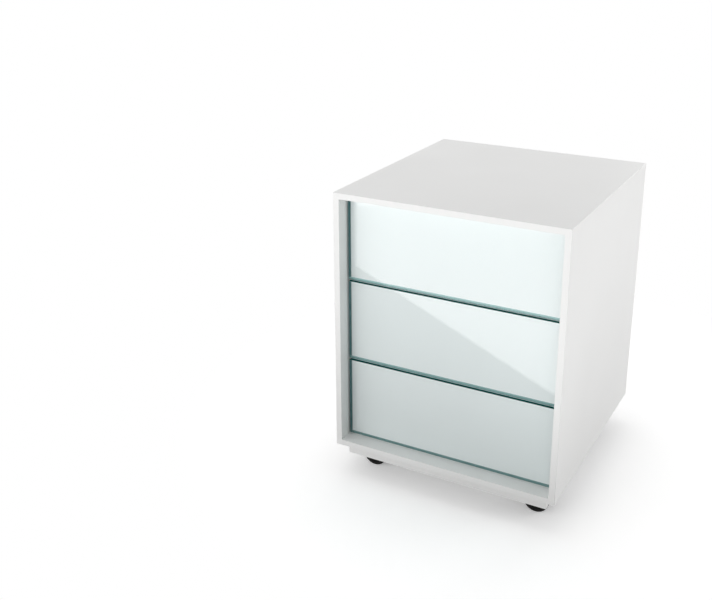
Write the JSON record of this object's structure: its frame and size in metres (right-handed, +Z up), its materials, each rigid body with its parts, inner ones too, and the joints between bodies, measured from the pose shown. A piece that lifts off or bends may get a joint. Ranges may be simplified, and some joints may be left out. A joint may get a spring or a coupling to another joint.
{
  "type": "chest of drawers",
  "caption": "White lacquered chest of drawers with set-back glass fronts opened by push latches, on telescopic runners, over a low plinth with swivel castors.",
  "frame": {"origin": "on the floor under the middle of the carcass", "axes": "+Z up, -Y is the front with the drawers, +X to the right seen from the front"},
  "size_m": [0.45, 0.48, 0.584],
  "materials": {
    "white_lacquer": "satin white lacquer on board",
    "front_board_white": "white lacquer behind glass",
    "drawer_board": "matt white foil on board",
    "beech": "fluted beech dowel",
    "front_glass": "polished float glass",
    "runner_steel": "zinc plated",
    "screw_steel": "zinc plated",
    "castor_steel": "zinc plated",
    "grey_plastic": "moulded",
    "black_plastic": "moulded",
    "black_nylon": "moulded nylon",
    "wheel_nylon": "moulded nylon"
  },
  "bodies": {
    "cabinet": {"top_panel": "white_lacquer", "bottom_panel": "white_lacquer", "left_side_panel": "white_lacquer", "right_side_panel": "white_lacquer", "back_panel": "white_lacquer", "plinth_front_rail": "white_lacquer", "plinth_back_rail": "white_lacquer", "plinth_left_rail": "white_lacquer", "plinth_right_rail": "white_lacquer", "carcass_dowels": "beech", "cabinet_screws": "screw_steel", "castor_screws": "screw_steel", "latch_housings": "grey_plastic", "castor_plates": "castor_steel", "bottom_cabinet_runners": "runner_steel", "middle_cabinet_runners": "runner_steel", "top_cabinet_runners": "runner_steel"},
    "bottom_drawer": {"bottom_drawer_glass": "front_glass", "bottom_drawer_front_board": "front_board_white", "bottom_drawer_left_side": "drawer_board", "bottom_drawer_right_side": "drawer_board", "bottom_drawer_back": "drawer_board", "bottom_drawer_base": "drawer_board", "bottom_drawer_runners": "runner_steel", "bottom_drawer_screws": "screw_steel"},
    "bottom_middle_runners": {"bottom_middle_runners": "runner_steel"},
    "bottom_latch_plunger": {"bottom_latch_plunger": "black_plastic"},
    "middle_drawer": {"middle_drawer_glass": "front_glass", "middle_drawer_front_board": "front_board_white", "middle_drawer_left_side": "drawer_board", "middle_drawer_right_side": "drawer_board", "middle_drawer_back": "drawer_board", "middle_drawer_base": "drawer_board", "middle_drawer_runners": "runner_steel", "middle_drawer_screws": "screw_steel"},
    "middle_middle_runners": {"middle_middle_runners": "runner_steel"},
    "middle_latch_plunger": {"middle_latch_plunger": "black_plastic"},
    "top_drawer": {"top_drawer_glass": "front_glass", "top_drawer_front_board": "front_board_white", "top_drawer_left_side": "drawer_board", "top_drawer_right_side": "drawer_board", "top_drawer_back": "drawer_board", "top_drawer_base": "drawer_board", "top_drawer_runners": "runner_steel", "top_drawer_screws": "screw_steel"},
    "top_middle_runners": {"top_middle_runners": "runner_steel"},
    "top_latch_plunger": {"top_latch_plunger": "black_plastic"},
    "front_left_castor_swivel": {"front_left_castor_hood": "black_nylon"},
    "front_left_castor_wheels": {"front_left_castor_wheels": "wheel_nylon", "front_left_castor_axle": "castor_steel"},
    "front_right_castor_swivel": {"front_right_castor_hood": "black_nylon"},
    "front_right_castor_wheels": {"front_right_castor_wheels": "wheel_nylon", "front_right_castor_axle": "castor_steel"},
    "rear_left_castor_swivel": {"rear_left_castor_hood": "black_nylon"},
    "rear_left_castor_wheels": {"rear_left_castor_wheels": "wheel_nylon", "rear_left_castor_axle": "castor_steel"},
    "rear_right_castor_swivel": {"rear_right_castor_hood": "black_nylon"},
    "rear_right_castor_wheels": {"rear_right_castor_wheels": "wheel_nylon", "rear_right_castor_axle": "castor_steel"}
  },
  "joints": [
    {"name": "bottom_drawer_slide", "type": "slide", "parent": "cabinet", "child": "bottom_drawer", "axis": [0, -1, 0], "range_m": [0, 0.35]},
    {"name": "bottom_middle_runner_slide", "type": "slide", "parent": "cabinet", "child": "bottom_middle_runners", "axis": [0, -1, 0], "range_m": [0, 0.175]},
    {"name": "bottom_latch_press", "type": "slide", "parent": "cabinet", "child": "bottom_latch_plunger", "axis": [0, 1, 0], "range_m": [0, 0.003], "stiffness_N_per_m": 200},
    {"name": "middle_drawer_slide", "type": "slide", "parent": "cabinet", "child": "middle_drawer", "axis": [0, -1, 0], "range_m": [0, 0.35]},
    {"name": "middle_middle_runner_slide", "type": "slide", "parent": "cabinet", "child": "middle_middle_runners", "axis": [0, -1, 0], "range_m": [0, 0.175]},
    {"name": "middle_latch_press", "type": "slide", "parent": "cabinet", "child": "middle_latch_plunger", "axis": [0, 1, 0], "range_m": [0, 0.003], "stiffness_N_per_m": 200},
    {"name": "top_drawer_slide", "type": "slide", "parent": "cabinet", "child": "top_drawer", "axis": [0, -1, 0], "range_m": [0, 0.35]},
    {"name": "top_middle_runner_slide", "type": "slide", "parent": "cabinet", "child": "top_middle_runners", "axis": [0, -1, 0], "range_m": [0, 0.175]},
    {"name": "top_latch_press", "type": "slide", "parent": "cabinet", "child": "top_latch_plunger", "axis": [0, 1, 0], "range_m": [0, 0.003], "stiffness_N_per_m": 200},
    {"name": "front_left_castor_turn", "type": "hinge", "parent": "cabinet", "child": "front_left_castor_swivel", "pos_m": [-0.149, -0.157, 0.05], "axis": [0, 0, 1], "continuous": true},
    {"name": "front_left_castor_roll", "type": "hinge", "parent": "front_left_castor_swivel", "child": "front_left_castor_wheels", "pos_m": [-0.171, -0.157, 0.025], "axis": [0, 1, 0], "continuous": true},
    {"name": "front_right_castor_turn", "type": "hinge", "parent": "cabinet", "child": "front_right_castor_swivel", "pos_m": [0.149, -0.157, 0.05], "axis": [0, 0, 1], "continuous": true},
    {"name": "front_right_castor_roll", "type": "hinge", "parent": "front_right_castor_swivel", "child": "front_right_castor_wheels", "pos_m": [0.171, -0.157, 0.025], "axis": [0, 1, 0], "continuous": true},
    {"name": "rear_left_castor_turn", "type": "hinge", "parent": "cabinet", "child": "rear_left_castor_swivel", "pos_m": [-0.149, 0.157, 0.05], "axis": [0, 0, 1], "continuous": true},
    {"name": "rear_left_castor_roll", "type": "hinge", "parent": "rear_left_castor_swivel", "child": "rear_left_castor_wheels", "pos_m": [-0.149, 0.179, 0.025], "axis": [1, 0, 0], "continuous": true},
    {"name": "rear_right_castor_turn", "type": "hinge", "parent": "cabinet", "child": "rear_right_castor_swivel", "pos_m": [0.149, 0.157, 0.05], "axis": [0, 0, 1], "continuous": true},
    {"name": "rear_right_castor_roll", "type": "hinge", "parent": "rear_right_castor_swivel", "child": "rear_right_castor_wheels", "pos_m": [0.149, 0.179, 0.025], "axis": [1, 0, 0], "continuous": true}
  ],
  "couplings": [
    {"joint": "bottom_middle_runner_slide", "follows": "bottom_drawer_slide", "ratio": 0.5},
    {"joint": "middle_middle_runner_slide", "follows": "middle_drawer_slide", "ratio": 0.5},
    {"joint": "top_middle_runner_slide", "follows": "top_drawer_slide", "ratio": 0.5}
  ]
}
